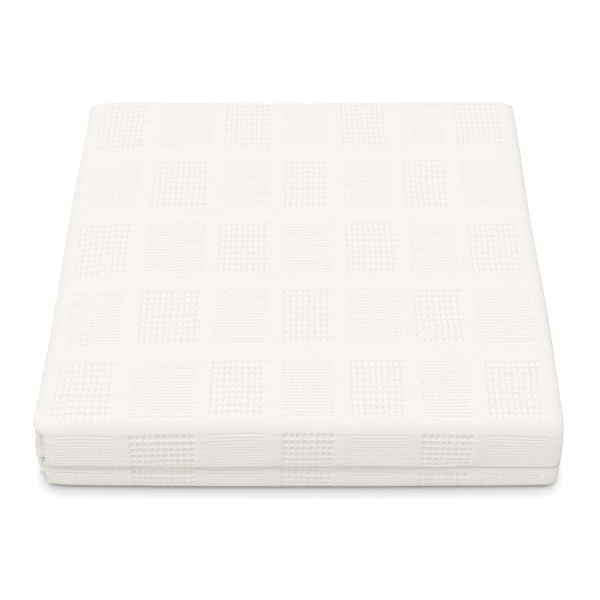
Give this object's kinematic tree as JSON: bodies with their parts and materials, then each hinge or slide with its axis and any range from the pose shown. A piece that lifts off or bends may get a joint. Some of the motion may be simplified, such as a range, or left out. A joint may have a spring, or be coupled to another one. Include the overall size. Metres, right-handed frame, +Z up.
{
  "type": "folded bedspread",
  "caption": "Folded white cotton bedspread in a checked waffle weave: a soft square pad of back-and-forth layers that rests flat on a bed, shelf or table.",
  "frame": {"origin": "under the middle of the folded pad, on the surface that it rests on", "axes": "+Z up, the two front folds face -Y, the left folds face -X and the right folds face +X"},
  "size_m": [0.383, 0.387, 0.0759],
  "materials": {
    "white_cotton": "matte, undyed white cotton in a checked waffle weave"
  },
  "bodies": {
    "root": {"bedspread": "white_cotton"}
  },
  "joints": []
}
